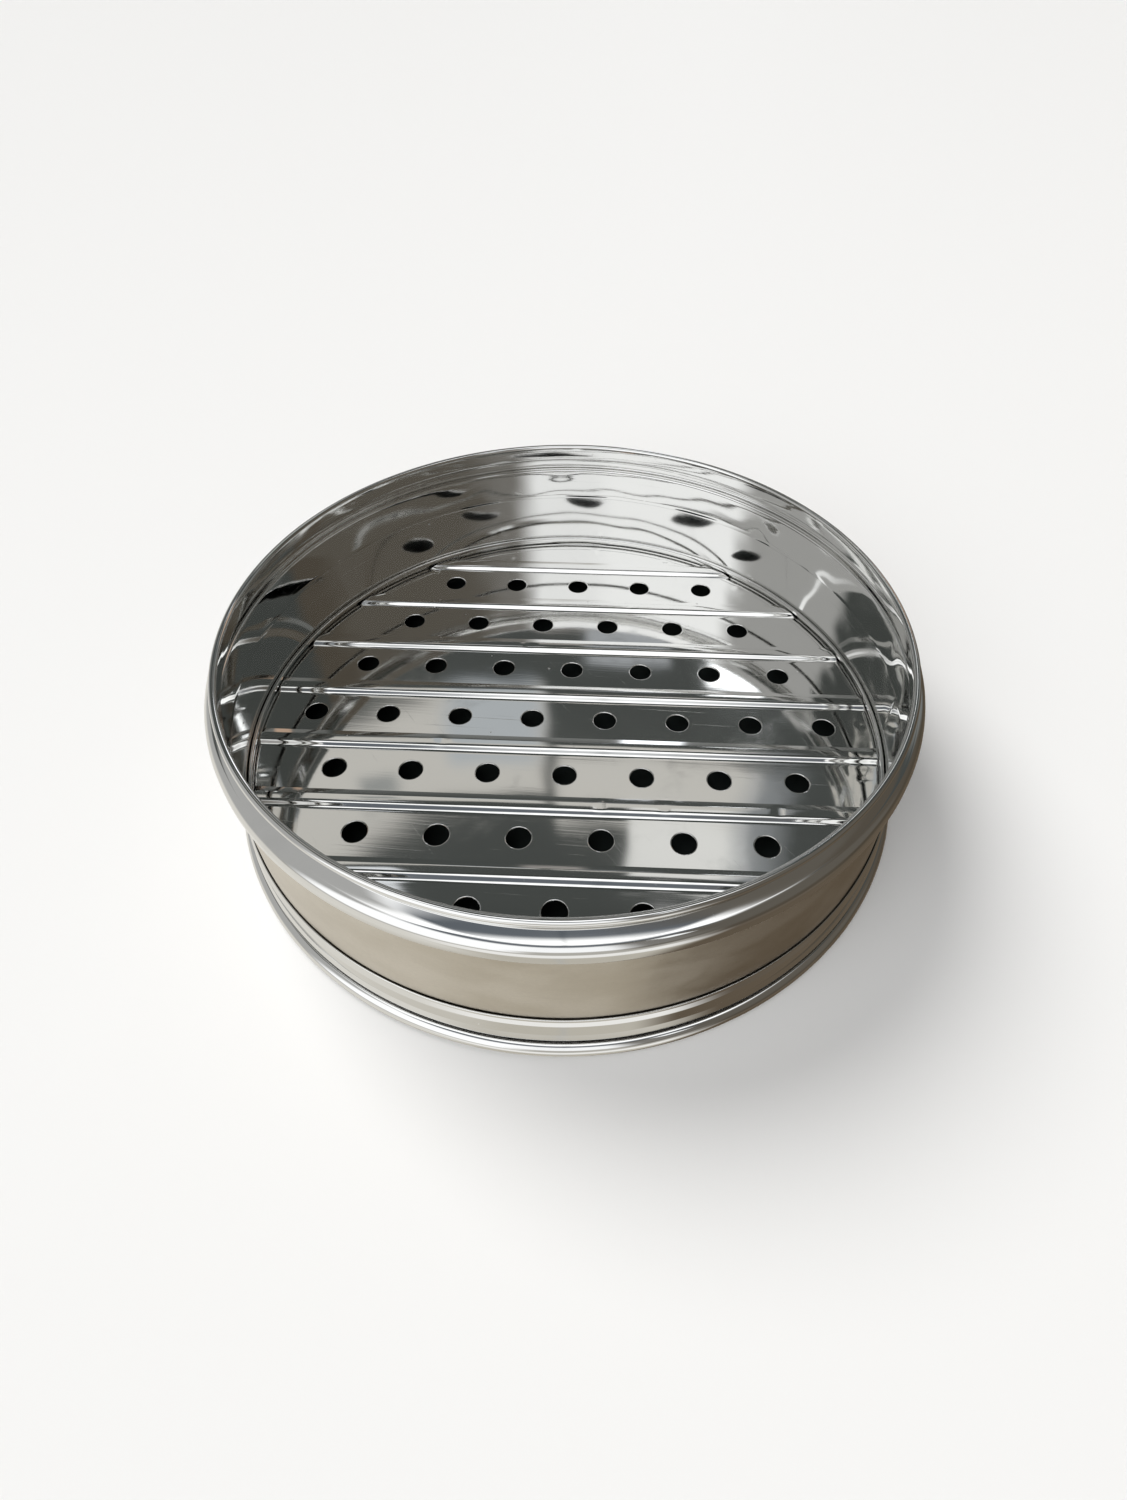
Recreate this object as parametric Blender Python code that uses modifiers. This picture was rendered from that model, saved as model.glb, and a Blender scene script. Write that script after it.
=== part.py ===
# One open tier of a stackable stainless-steel steamer, as rolled, seamed and spot-welded sheet pieces.
# Origin: centre of the base, on the surface that the tier stands on. +Z up. The floor strips run along X.
import math

import bmesh
import bpy

MM = 0.001

# Driving dimensions.
SHEET = 0.7 * MM              # thickness of every sheet piece
GAP = 0.3 * MM                # clearance between neighbouring pieces
RIM_RADIUS = 150.0 * MM       # outside of the curled top edge
HEIGHT = 85.8 * MM            # base to the top of the curled top edge
WALL_RADIUS = 152.2 * MM      # outside of the straight wall
BEAD_RADIUS = 154.8 * MM      # outside of the rounded bead under the shoulder
SKIRT_RADIUS = 154.1 * MM     # outside of the socket skirt
FLOOR_TOP = 17.3 * MM         # upper face of the floor strips
SHOULDER_FOOT = 77.9 * MM     # where the neck meets the sloping shoulder, along the middle of the sheet
SHOULDER_SLOPE = math.radians(24.35)   # falls outwards to the bead that the next tier rests on
BEAD_CENTRE = 72.5 * MM       # height of the bead's widest point
BEAD_ROUND = 3.3 * MM         # bend radius of the bead, along the middle of the sheet
TOP_WIRE = 0.6 * MM           # radius of the wire in the top curl
BOTTOM_WIRE = 2.2 * MM        # radius of the wire in the bottom curl
BOTTOM_SLACK = 0.1 * MM       # extra room round the bottom wire
FOOT_FLARE = 0.65 * MM        # bottom curl's centre, outside the middle of the skirt's sheet
HEM_RADIUS = 0.5 * MM         # folded top edge of the floor ring

# Floor pattern.
STRIP_COUNT = 9
STRIP_PITCH = 35.5 * MM
HOLE_PITCH = 36.0 * MM
HOLE_RADIUS = 5.5 * MM
MOST_HOLES = 8                # in the middle strip, one fewer in each next one
RIDGE_HEIGHT = 1.5 * MM       # above the strips' upper face
RIDGE_FRONT = 5.2 * MM        # foot of the ridge's front slope, ahead of the pitch line
CROWN_FRONT = 2.6 * MM        # front and back of the flat crown
CROWN_BACK = 1.5 * MM
RIDGE_BACK = 4.4 * MM         # free edge, which laps over the next strip
LAP_START = 1.2 * MM          # front edge of each strip, under the last one's crown

# Facets.
STEPS = 60
TOP_CURL_BENDS = 7
BOTTOM_CURL_BENDS = 9
HOLE_SIDES = 20
WIRE_SIDES = 6
CUTTER_DEPTH = 20 * MM        # through every floor strip

# Derived sizes, along the middle of the sheet.
HALF_SHEET = SHEET / 2
TOP_CURL = TOP_WIRE + GAP + SHEET          # outer radius of the top curl
BOTTOM_CURL = BOTTOM_WIRE + GAP + SHEET + BOTTOM_SLACK
TOP_CURL_CENTRE = (RIM_RADIUS - TOP_CURL, HEIGHT - TOP_CURL)
NECK = TOP_CURL_CENTRE[0] - TOP_CURL + HALF_SHEET
LAP = WALL_RADIUS + GAP + HALF_SHEET       # skirt flange, which laps over the outside of the wall
INNER_LAP = WALL_RADIUS - SHEET - GAP - HALF_SHEET   # rings that lap over the inside of the wall
SKIRT = SKIRT_RADIUS - HALF_SHEET
BOTTOM_CURL_CENTRE = (SKIRT + FOOT_FLARE, BOTTOM_CURL)
STRIP_MIDDLE = FLOOR_TOP - HALF_SHEET
BEAD_BOTTOM = 68.4 * MM                    # tuck under the bead, just over the wall's top edge
FLOOR_RADIUS = INNER_LAP - 2 * HEM_RADIUS - HALF_SHEET - GAP   # the strips fit inside the ring's hem


def clear_scene():
    for obj in list(bpy.data.objects):
        bpy.data.objects.remove(obj)


def new_collection(name):
    collection = bpy.data.collections.new(name)
    bpy.context.scene.collection.children.link(collection)
    return collection


def steel(name, colour, roughness):
    material = bpy.data.materials.new(name)
    material.use_nodes = True
    shader = material.node_tree.nodes["Principled BSDF"]
    shader.inputs["Base Color"].default_value = (*colour, 1)
    shader.inputs["Metallic"].default_value = 1
    shader.inputs["Roughness"].default_value = roughness
    return material


def mirror_steel(name):
    return steel(name, (0.78, 0.78, 0.77), 0.08)


def satin_steel(name):
    return steel(name, (0.68, 0.65, 0.60), 0.38)


def wire_steel(name):
    return steel(name, (0.55, 0.55, 0.55), 0.30)


def arc(centre, radius, start, end, corners):
    """An arc as flats that touch the circle from outside. Its two ends lie on the circle itself."""
    step = math.radians(end - start) / corners
    outer = radius / math.cos(step / 2)
    bends = [(outer, math.radians(start) + step * (i + 0.5)) for i in range(corners)]
    points = [(radius, math.radians(start))] + bends + [(radius, math.radians(end))]
    return [(centre[0] + r * math.cos(a), centre[1] + r * math.sin(a)) for r, a in points]


def add_object(name, mesh, collection, material):
    obj = bpy.data.objects.new(name, mesh)
    collection.objects.link(obj)
    mesh.materials.append(material)
    return obj


def shade(obj):
    obj.data.shade_smooth()
    obj.data.set_sharp_from_angle(angle=math.radians(35))


def add_sheet(obj):
    solidify = obj.modifiers.new("Sheet", "SOLIDIFY")
    solidify.thickness = SHEET
    solidify.offset = 0
    solidify.use_even_offset = True


def turned_sheet(name, profile, collection, material):
    """A ring of sheet: the profile, in radius and height, is the middle of the sheet."""
    form = bmesh.new()
    points = [form.verts.new((radius, 0, height)) for radius, height in profile]
    for upper, lower in zip(points, points[1:]):
        form.edges.new((upper, lower))
    mesh = bpy.data.meshes.new(name)
    form.to_mesh(mesh)
    form.free()
    obj = add_object(name, mesh, collection, material)
    screw = obj.modifiers.new("Turn", "SCREW")
    screw.steps = STEPS
    screw.render_steps = STEPS
    screw.use_merge_vertices = True
    screw.merge_threshold = 0.00001
    screw.use_smooth_shade = True
    add_sheet(obj)
    return obj


def wire_ring(name, centre, wire_radius, collection, material):
    bpy.ops.mesh.primitive_torus_add(
        major_segments=STEPS, minor_segments=WIRE_SIDES, major_radius=centre[0],
        minor_radius=wire_radius, location=(0, 0, centre[1]))
    obj = bpy.context.object
    obj.name = name
    obj.data.name = name
    for holder in obj.users_collection:
        holder.objects.unlink(obj)
    collection.objects.link(obj)
    obj.data.materials.append(material)
    obj.data.shade_smooth()
    return obj


def upper_collar_profile():
    """Curled edge, neck, sloping shoulder, rounded bead and the flange that laps inside the wall."""
    fillet = 1.0 * MM
    bead = BEAD_RADIUS - HALF_SHEET
    bead_start = 72
    tuck = 1.6 * MM
    flange_end = 50.0 * MM
    curl = arc(TOP_CURL_CENTRE, TOP_CURL - HALF_SHEET, -80, 180, TOP_CURL_BENDS)
    shoulder = [
        (NECK, SHOULDER_FOOT + fillet),
        (NECK + fillet, SHOULDER_FOOT - fillet * math.tan(SHOULDER_SLOPE)),
    ]
    round_over = arc((bead - BEAD_ROUND, BEAD_CENTRE), BEAD_ROUND, bead_start, 0, 2)
    underside = arc((bead - tuck, BEAD_BOTTOM + tuck), tuck, 0, -90, 1)
    flange = [(INNER_LAP, BEAD_BOTTOM), (INNER_LAP, flange_end)]
    return curl + shoulder + round_over + underside + flange


def lower_skirt_profile():
    """Flange over the wall, step out to the socket skirt, small rib and the curled bottom edge."""
    flange_top = 23.0 * MM
    step_top = 21.6 * MM
    step_bottom = 19.8 * MM
    rib_top = 13.0 * MM
    rib_middle = 10.3 * MM
    rib_bottom = 7.6 * MM
    rib_height = 0.8 * MM
    curl = arc(BOTTOM_CURL_CENTRE, BOTTOM_CURL - HALF_SHEET, 126, 450, BOTTOM_CURL_BENDS)
    return [
        (LAP, flange_top),
        (LAP, step_top),
        (SKIRT, step_bottom),
        (SKIRT, rib_top),
        (SKIRT + rib_height, rib_middle),
        (SKIRT, rib_bottom),
    ] + curl


def wall_profile():
    top = BEAD_BOTTOM - HALF_SHEET - GAP
    bottom = 12.0 * MM
    middle = WALL_RADIUS - HALF_SHEET
    return [(middle, top), (middle, bottom)]


def floor_ring_profile():
    """Angle section: an upright leg against the wall, hemmed at its top, and a flat leg under the strips."""
    hem_centre = 21.0 * MM
    hem_end = 19.4 * MM
    leg_width = 12.0 * MM
    flat_leg = FLOOR_TOP - SHEET - GAP - HALF_SHEET
    fold = arc((INNER_LAP - HEM_RADIUS, hem_centre), HEM_RADIUS, 180, 0, 3)
    legs = [(INNER_LAP, flat_leg), (INNER_LAP - leg_width, flat_leg)]
    return [(INNER_LAP - 2 * HEM_RADIUS, hem_end)] + fold + legs


def strip_profile(first, last):
    """Middle of the sheet across one strip, in Y and Z, from its front edge to the free edge of its ridge."""
    half = STRIP_PITCH / 2
    crown = FLOOR_TOP + RIDGE_HEIGHT - HALF_SHEET
    start = -half if first else -half - LAP_START
    edge = [(start, STRIP_MIDDLE)]
    if last:
        edge.append((half, STRIP_MIDDLE))
        return edge
    edge.append((half - RIDGE_FRONT, STRIP_MIDDLE))
    edge.append((half - CROWN_FRONT, crown))
    edge.append((half + CROWN_BACK, crown))
    edge.append((half + RIDGE_BACK, FLOOR_TOP + GAP + HALF_SHEET))
    return edge


def floor_blank(cutters):
    """The round outline that the strips are trimmed to."""
    bpy.ops.mesh.primitive_cylinder_add(
        vertices=STEPS, radius=FLOOR_RADIUS, depth=CUTTER_DEPTH, location=(0, 0, FLOOR_TOP))
    return as_cutter(bpy.context.object, "floor_blank", cutters)


def as_cutter(obj, name, cutters):
    obj.name = name
    for holder in obj.users_collection:
        holder.objects.unlink(obj)
    cutters.objects.link(obj)
    obj.hide_render = True
    obj.display_type = "WIRE"
    return obj


def hole_count(number):
    from_middle = abs(number - (STRIP_COUNT + 1) // 2)
    return 0 if from_middle == STRIP_COUNT // 2 else MOST_HOLES - from_middle


def hole_punch(number, centre_y, cutters):
    """One round punch for each hole of a strip, spaced evenly about its middle."""
    count = hole_count(number)
    form = bmesh.new()
    for i in range(count):
        punch = bmesh.ops.create_cone(
            form, cap_ends=True, segments=HOLE_SIDES, radius1=HOLE_RADIUS, radius2=HOLE_RADIUS,
            depth=CUTTER_DEPTH)
        x = (i - (count - 1) / 2) * HOLE_PITCH
        bmesh.ops.translate(form, verts=punch["verts"], vec=(x, centre_y, FLOOR_TOP))
    mesh = bpy.data.meshes.new(f"punch_{number}")
    form.to_mesh(mesh)
    form.free()
    obj = bpy.data.objects.new(mesh.name, mesh)
    bpy.context.scene.collection.objects.link(obj)
    return as_cutter(obj, mesh.name, cutters)


def cut(obj, cutter, operation):
    boolean = obj.modifiers.new(operation.title(), "BOOLEAN")
    boolean.operation = operation
    boolean.solver = "EXACT"
    boolean.object = cutter


def floor_strip(number, blank, parts, cutters):
    """A folded strip, extruded along X, trimmed to the round outline and punched."""
    name = f"floor_strip_{number}"
    centre_y = (number - (STRIP_COUNT + 1) / 2) * STRIP_PITCH
    profile = strip_profile(number == 1, number == STRIP_COUNT)
    if number == 1:
        profile[0] = (-RIM_RADIUS - centre_y, STRIP_MIDDLE)
    if number == STRIP_COUNT:
        profile[-1] = (RIM_RADIUS - centre_y, STRIP_MIDDLE)
    form = bmesh.new()
    line = [form.verts.new((-RIM_RADIUS, centre_y + y, z)) for y, z in profile]
    edges = [form.edges.new(pair) for pair in zip(line, line[1:])]
    made = bmesh.ops.extrude_edge_only(form, edges=edges)
    ends = [v for v in made["geom"] if isinstance(v, bmesh.types.BMVert)]
    bmesh.ops.translate(form, verts=ends, vec=(2 * RIM_RADIUS, 0, 0))
    bmesh.ops.recalc_face_normals(form, faces=form.faces)
    mesh = bpy.data.meshes.new(name)
    form.to_mesh(mesh)
    form.free()
    obj = add_object(name, mesh, parts, mirror_steel(name))
    add_sheet(obj)
    cut(obj, blank, "INTERSECT")
    if hole_count(number):
        cut(obj, hole_punch(number, centre_y, cutters), "DIFFERENCE")
    shade(obj)
    return obj


def build():
    clear_scene()
    parts = new_collection("steamer_tier")
    cutters = new_collection("steamer_tier_cutters")
    turned_sheet("upper_collar", upper_collar_profile(), parts, mirror_steel("upper_collar"))
    turned_sheet("wall_band", wall_profile(), parts, satin_steel("wall_band"))
    turned_sheet("lower_skirt", lower_skirt_profile(), parts, mirror_steel("lower_skirt"))
    turned_sheet("floor_ring", floor_ring_profile(), parts, mirror_steel("floor_ring"))
    wire_ring("top_rim_wire", TOP_CURL_CENTRE, TOP_WIRE, parts, wire_steel("top_rim_wire"))
    wire_ring("bottom_rim_wire", BOTTOM_CURL_CENTRE, BOTTOM_WIRE, parts, wire_steel("bottom_rim_wire"))
    blank = floor_blank(cutters)
    for number in range(1, STRIP_COUNT + 1):
        floor_strip(number, blank, parts, cutters)


build()
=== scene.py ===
import math

import bmesh
import bpy
import numpy as np
from mathutils import Matrix, Vector


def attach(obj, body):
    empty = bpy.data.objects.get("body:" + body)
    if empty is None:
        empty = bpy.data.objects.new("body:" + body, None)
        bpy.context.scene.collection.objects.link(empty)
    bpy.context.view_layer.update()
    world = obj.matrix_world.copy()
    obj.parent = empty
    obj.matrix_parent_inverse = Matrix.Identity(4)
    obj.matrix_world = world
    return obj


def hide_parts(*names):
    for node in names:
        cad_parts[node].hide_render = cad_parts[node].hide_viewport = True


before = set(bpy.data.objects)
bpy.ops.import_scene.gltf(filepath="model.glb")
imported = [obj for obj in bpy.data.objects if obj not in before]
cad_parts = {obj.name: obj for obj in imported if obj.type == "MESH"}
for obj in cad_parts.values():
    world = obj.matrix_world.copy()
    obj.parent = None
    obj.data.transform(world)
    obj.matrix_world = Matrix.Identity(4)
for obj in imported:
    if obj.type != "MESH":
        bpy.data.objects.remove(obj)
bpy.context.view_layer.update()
mm = 0.001

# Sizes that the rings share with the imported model, all in millimetres.
tier = {
    "sheet": 0.7,
    "floorTop": 17.3,
    "wallOutside": 152.2,
    "lapRadius": 152.85,      # skirt flange, outside the wall
    "innerLap": 150.85,       # collar flange and floor ring, inside the wall
    "skirtRadius": 153.75,
    "outOfRound": 0.06,       # the whole tier is slightly oval
}


def arcPoints(centre, radius, start, end, count):
    turns = np.radians(np.linspace(start, end, count + 1))
    return [(centre[0] + radius * math.cos(a), centre[1] + radius * math.sin(a)) for a in turns]


# Each corner is (radius from the axis, height, bend radius).
def bentPath(corners, degreesPerStep=9):
    points = [Vector(corners[0][:2])]
    for before, corner, after in zip(corners, corners[1:], corners[2:]):
        place, bend = Vector(corner[:2]), corner[2]
        back = (Vector(before[:2]) - place).normalized()
        forth = (Vector(after[:2]) - place).normalized()
        between = back.angle(forth)
        if bend <= 0 or between > math.radians(179):
            points.append(place)
            continue
        reach = bend / math.tan(between / 2)
        centre = place + (back + forth).normalized() * (bend / math.sin(between / 2))
        first = place + back * reach - centre
        last = place + forth * reach - centre
        sweep = math.atan2(first.x * last.y - first.y * last.x, first.dot(last))
        count = max(2, math.ceil(abs(math.degrees(sweep)) / degreesPerStep))
        for i in range(count + 1):
            points.append(centre + Matrix.Rotation(sweep * i / count, 2) @ first)
    points.append(Vector(corners[-1][:2]))
    return [(p.x, p.y) for p in points]


def evenPath(path, longest):
    points = [path[0]]
    for a, b in zip(path, path[1:]):
        pieces = max(1, math.ceil(math.dist(a, b) / longest))
        for i in range(1, pieces + 1):
            points.append((a[0] + (b[0] - a[0]) * i / pieces, a[1] + (b[1] - a[1]) * i / pieces))
    return points


def sideways(line):
    runs = np.diff(line, axis=0)
    runs /= np.linalg.norm(runs, axis=1)[:, None]
    along = np.vstack([runs[:1], runs[:-1] + runs[1:], runs[-1:]])
    along /= np.linalg.norm(along, axis=1)[:, None]
    return along, np.stack([along[:, 1], -along[:, 0]], 1)


# The closed outline of a sheet whose middle is the path, with both cut edges rounded.
def sheetLoop(path, thickness):
    line = np.array(path, float)
    half = thickness / 2
    along, across = sideways(line)
    line[0] += along[0] * half
    line[-1] -= along[-1] * half
    cap = np.radians(np.linspace(90, -90, 7)[1:-1])[:, None]
    farCap = line[-1] + half * (along[-1] * np.cos(cap) + across[-1] * np.sin(cap))
    nearCap = line[0] - half * (along[0] * np.cos(cap) + across[0] * np.sin(cap))
    return np.vstack([line + across * half, farCap, (line - across * half)[::-1], nearCap])


# Turning angles, closer together about the weld seam.
def turnSteps(count, seam=None, span=0.0, fineCount=0):
    angles = np.linspace(0, 360, count, endpoint=False)
    if seam is None:
        return np.radians(angles)
    away = np.abs((angles - seam + 180) % 360 - 180)
    fine = np.linspace(seam - span, seam + span, fineCount)
    return np.radians(np.sort(np.concatenate([angles[away > span + 0.4], fine % 360])))


def ovalness(angle):
    return tier["outOfRound"] * (np.cos(2 * angle + 0.6) + 0.5 * np.cos(3 * angle + 2.1))


def meshFrom(name, places, faces):
    mesh = bpy.data.meshes.new(name)
    mesh.from_pydata((np.asarray(places) * mm).tolist(), [], faces)
    mesh.validate()
    form = bmesh.new()
    form.from_mesh(mesh)
    bmesh.ops.recalc_face_normals(form, faces=form.faces)
    form.to_mesh(mesh)
    form.free()
    mesh.shade_smooth()
    return mesh


# A ring turned from a closed outline. push moves points outwards, by angle, radius and height.
def turnedRing(name, loop, angles, push=None):
    radius, height = loop[:, 0][None], loop[:, 1][None]
    angle = angles[:, None]
    out = radius + ovalness(angle)
    if push is not None:
        out = out + push(angle, radius, height)
    places = np.stack([out * np.cos(angle), out * np.sin(angle), height + 0 * angle], 2).reshape(-1, 3)
    sides = len(loop)
    turns = len(angles)
    faces = []
    for i in range(turns):
        here, there = i * sides, (i + 1) % turns * sides
        for j in range(sides):
            k = (j + 1) % sides
            faces.append((here + j, there + j, there + k, here + k))
    return meshFrom(name, places, faces)


# Joins an upper and a lower skin of the same layout into one closed sheet.
def closedSheet(name, upper, lower, faces):
    count = len(upper)
    seen = {}
    for face in faces:
        for a, b in zip(face, face[1:] + face[:1]):
            seen.setdefault((min(a, b), max(a, b)), []).append((a, b))
    rims = [(b, a, a + count, b + count) for (a, b), in (v for v in seen.values() if len(v) == 1)]
    turned = [tuple(i + count for i in reversed(face)) for face in faces]
    mesh = meshFrom(name, np.vstack([upper, lower]), [tuple(f) for f in faces] + turned + rims)
    mesh.set_sharp_from_angle(angle=math.radians(38))
    return mesh


def addPiece(name, mesh, nodeName, materials):
    piece = bpy.data.objects.new(name, mesh)
    bpy.context.scene.collection.objects.link(piece)
    for material in materials:
        mesh.materials.append(material)
    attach(piece, "root")
    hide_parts(nodeName)
    return piece


def addNode(tree, kind, settings=None, **values):
    node = tree.nodes.new("ShaderNode" + kind)
    for key, value in (settings or {}).items():
        setattr(node, key, value)
    for key, value in values.items():
        node.inputs[key].default_value = value
    return node


def maths(tree, operation, first, second=None, third=None, clamp=False):
    node = tree.nodes.new("ShaderNodeMath")
    node.operation = operation
    node.use_clamp = clamp
    for slot, value in enumerate((first, second, third)):
        if value is None:
            continue
        if isinstance(value, (int, float)):
            node.inputs[slot].default_value = value
        else:
            tree.links.new(value, node.inputs[slot])
    return node.outputs[0]


def mapRange(tree, value, fromLow, fromHigh, toLow, toHigh, smooth=True):
    node = tree.nodes.new("ShaderNodeMapRange")
    node.interpolation_type = "SMOOTHSTEP" if smooth else "LINEAR"
    tree.links.new(value, node.inputs["Value"])
    for key, level in zip(("From Min", "From Max", "To Min", "To Max"), (fromLow, fromHigh, toLow, toHigh)):
        if isinstance(level, (int, float)):
            node.inputs[key].default_value = level
        else:
            tree.links.new(level, node.inputs[key])
    return node.outputs["Result"]


def newGroup(name, inputs, outputs):
    group = bpy.data.node_groups.new(name, "ShaderNodeTree")
    for label, kind, start in inputs:
        socket = group.interface.new_socket(name=label, in_out="INPUT", socket_type="NodeSocket" + kind)
        if start is not None:
            socket.default_value = start
    for label, kind in outputs:
        group.interface.new_socket(name=label, in_out="OUTPUT", socket_type="NodeSocket" + kind)
    return group, group.nodes.new("NodeGroupInput"), group.nodes.new("NodeGroupOutput")


def useGroup(tree, group, links=None, **values):
    node = tree.nodes.new("ShaderNodeGroup")
    node.node_tree = group
    for key, value in values.items():
        node.inputs[key].default_value = value
    for key, source in (links or {}).items():
        tree.links.new(source, node.inputs[key])
    return node


# Hair-fine polishing lines: noise drawn out along one direction and cut to thin streaks.
def makeFineLines():
    group, start, end = newGroup(
        "fineLines",
        [("Vector", "Vector", None), ("Stretch", "Vector", (4.0, 400.0, 400.0)), ("Turn", "Float", 0.0),
         ("Amount", "Float", 0.2)],
        [("Mask", "Float"), ("Height", "Float")])
    turn = addNode(group, "VectorRotate", {"rotation_type": "Z_AXIS"})
    group.links.new(start.outputs["Vector"], turn.inputs["Vector"])
    group.links.new(start.outputs["Turn"], turn.inputs["Angle"])
    spread = addNode(group, "VectorMath", {"operation": "MULTIPLY"})
    group.links.new(turn.outputs["Vector"], spread.inputs[0])
    group.links.new(start.outputs["Stretch"], spread.inputs[1])
    noise = addNode(group, "TexNoise", Scale=1.0, Detail=3.0, Roughness=0.6)
    group.links.new(spread.outputs["Vector"], noise.inputs["Vector"])
    edge = maths(group, "SUBTRACT", 0.80, maths(group, "MULTIPLY", start.outputs["Amount"], 0.3))
    top = maths(group, "ADD", edge, 0.06)
    mask = mapRange(group, noise.outputs["Fac"], edge, top, 0.0, 1.0)
    group.links.new(mask, end.inputs["Mask"])
    group.links.new(noise.outputs["Fac"], end.inputs["Height"])
    return group


# Faint wiped-on film and water marks that dull the polish in patches.
def makeSmudges():
    group, start, end = newGroup(
        "smudges",
        [("Vector", "Vector", None), ("Scale", "Float", 14.0), ("Coverage", "Float", 0.4)],
        [("Mask", "Float")])
    wide = addNode(group, "TexNoise", Detail=5.0, Roughness=0.62, Distortion=0.6)
    group.links.new(start.outputs["Vector"], wide.inputs["Vector"])
    group.links.new(start.outputs["Scale"], wide.inputs["Scale"])
    small = addNode(group, "TexNoise", Detail=3.0, Roughness=0.5)
    group.links.new(start.outputs["Vector"], small.inputs["Vector"])
    group.links.new(maths(group, "MULTIPLY", start.outputs["Scale"], 9.0), small.inputs["Scale"])
    both = maths(group, "MULTIPLY_ADD", small.outputs["Fac"], 0.25, wide.outputs["Fac"])
    low = maths(group, "SUBTRACT", 0.84, maths(group, "MULTIPLY", start.outputs["Coverage"], 0.4))
    high = maths(group, "ADD", low, 0.28)
    group.links.new(mapRange(group, both, low, high, 0.0, 1.0), end.inputs["Mask"])
    return group


# Rare pinhead specks of dust and dried water.
def makeSpecks():
    group, start, end = newGroup(
        "specks",
        [("Vector", "Vector", None), ("Scale", "Float", 160.0), ("Share", "Float", 0.06)],
        [("Mask", "Float")])
    cells = addNode(group, "TexVoronoi", {"feature": "F1"}, Randomness=1.0)
    group.links.new(start.outputs["Vector"], cells.inputs["Vector"])
    group.links.new(start.outputs["Scale"], cells.inputs["Scale"])
    apart = addNode(group, "SeparateColor")
    group.links.new(cells.outputs["Color"], apart.inputs["Color"])
    chosen = maths(group, "LESS_THAN", apart.outputs["Red"], start.outputs["Share"])
    size = maths(group, "MULTIPLY_ADD", apart.outputs["Green"], 0.10, 0.03)
    dot = maths(group, "LESS_THAN", cells.outputs["Distance"], size)
    group.links.new(maths(group, "MULTIPLY", chosen, dot), end.inputs["Mask"])
    return group


# Slow mottling of rolled sheet: clouds plus a short grain.
def makeMottle():
    group, start, end = newGroup(
        "mottle",
        [("Vector", "Vector", None), ("Cloud", "Float", 30.0), ("Grain", "Float", 900.0)],
        [("Cloud", "Float"), ("Grain", "Float")])
    cloud = addNode(group, "TexNoise", Detail=4.0, Roughness=0.55, Distortion=0.3)
    grain = addNode(group, "TexNoise", Detail=2.0, Roughness=0.7)
    for node, label in ((cloud, "Cloud"), (grain, "Grain")):
        group.links.new(start.outputs["Vector"], node.inputs["Vector"])
        group.links.new(start.outputs[label], node.inputs["Scale"])
        group.links.new(node.outputs["Fac"], end.inputs[label])
    return group


# Position on a ring: short steps round the ring, long steps across the sheet.
def makeRingDirection():
    group, start, end = newGroup(
        "ringDirection",
        [("Vector", "Vector", None), ("Across", "Float", 60.0)],
        [("Vector", "Vector")])
    apart = addNode(group, "SeparateXYZ")
    group.links.new(start.outputs["Vector"], apart.inputs["Vector"])
    squareSum = maths(group, "ADD", maths(group, "MULTIPLY", apart.outputs["X"], apart.outputs["X"]),
                      maths(group, "MULTIPLY", apart.outputs["Y"], apart.outputs["Y"]))
    radius = maths(group, "SQRT", squareSum)
    side = maths(group, "MULTIPLY_ADD", radius, 0.73, apart.outputs["Z"])
    joined = addNode(group, "CombineXYZ")
    group.links.new(apart.outputs["X"], joined.inputs["X"])
    group.links.new(apart.outputs["Y"], joined.inputs["Y"])
    group.links.new(maths(group, "MULTIPLY", side, start.outputs["Across"]), joined.inputs["Z"])
    group.links.new(joined.outputs["Vector"], end.inputs["Vector"])
    return group


# Painted shade along a joint, where one sheet tucks over another: a soft dark band about one height.
def makeSeamShade():
    group, start, end = newGroup(
        "seamShade",
        [("Height", "Float", 0.0), ("Vector", "Vector", None), ("Centre", "Float", 0.0),
         ("HalfWidth", "Float", 0.001)],
        [("Mask", "Float")])
    breakUp = addNode(group, "TexNoise", Scale=90.0, Detail=3.0)
    group.links.new(start.outputs["Vector"], breakUp.inputs["Vector"])
    offset = maths(group, "SUBTRACT", start.outputs["Height"], start.outputs["Centre"])
    away = maths(group, "ABSOLUTE", offset)
    share = maths(group, "DIVIDE", away, start.outputs["HalfWidth"])
    share = maths(group, "MULTIPLY_ADD", breakUp.outputs["Fac"], 0.5, maths(group, "SUBTRACT", share, 0.25))
    group.links.new(mapRange(group, share, 0.55, 1.2, 0.92, 0.0), end.inputs["Mask"])
    return group


effects = {
    "seamShade": makeSeamShade(),
    "fineLines": makeFineLines(),
    "smudges": makeSmudges(),
    "specks": makeSpecks(),
    "mottle": makeMottle(),
    "ringDirection": makeRingDirection(),
}
print("shared effects made")


def startMaterial(name, colour, roughness):
    material = bpy.data.materials.new(name)
    material.use_nodes = True
    tree = material.node_tree
    shader = tree.nodes["Principled BSDF"]
    shader.inputs["Base Color"].default_value = (*colour, 1)
    shader.inputs["Metallic"].default_value = 1.0
    shader.inputs["Roughness"].default_value = roughness
    place = tree.nodes.new("ShaderNodeTexCoord").outputs["Object"]
    return material, tree, shader, place


def mixColour(tree, factor, first, second):
    node = addNode(tree, "Mix", {"data_type": "RGBA"})
    for slot, value in ((6, first), (7, second)):
        if isinstance(value, tuple):
            node.inputs[slot].default_value = (*value, 1)
        else:
            tree.links.new(value, node.inputs[slot])
    tree.links.new(factor, node.inputs[0])
    return node.outputs[2]


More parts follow.
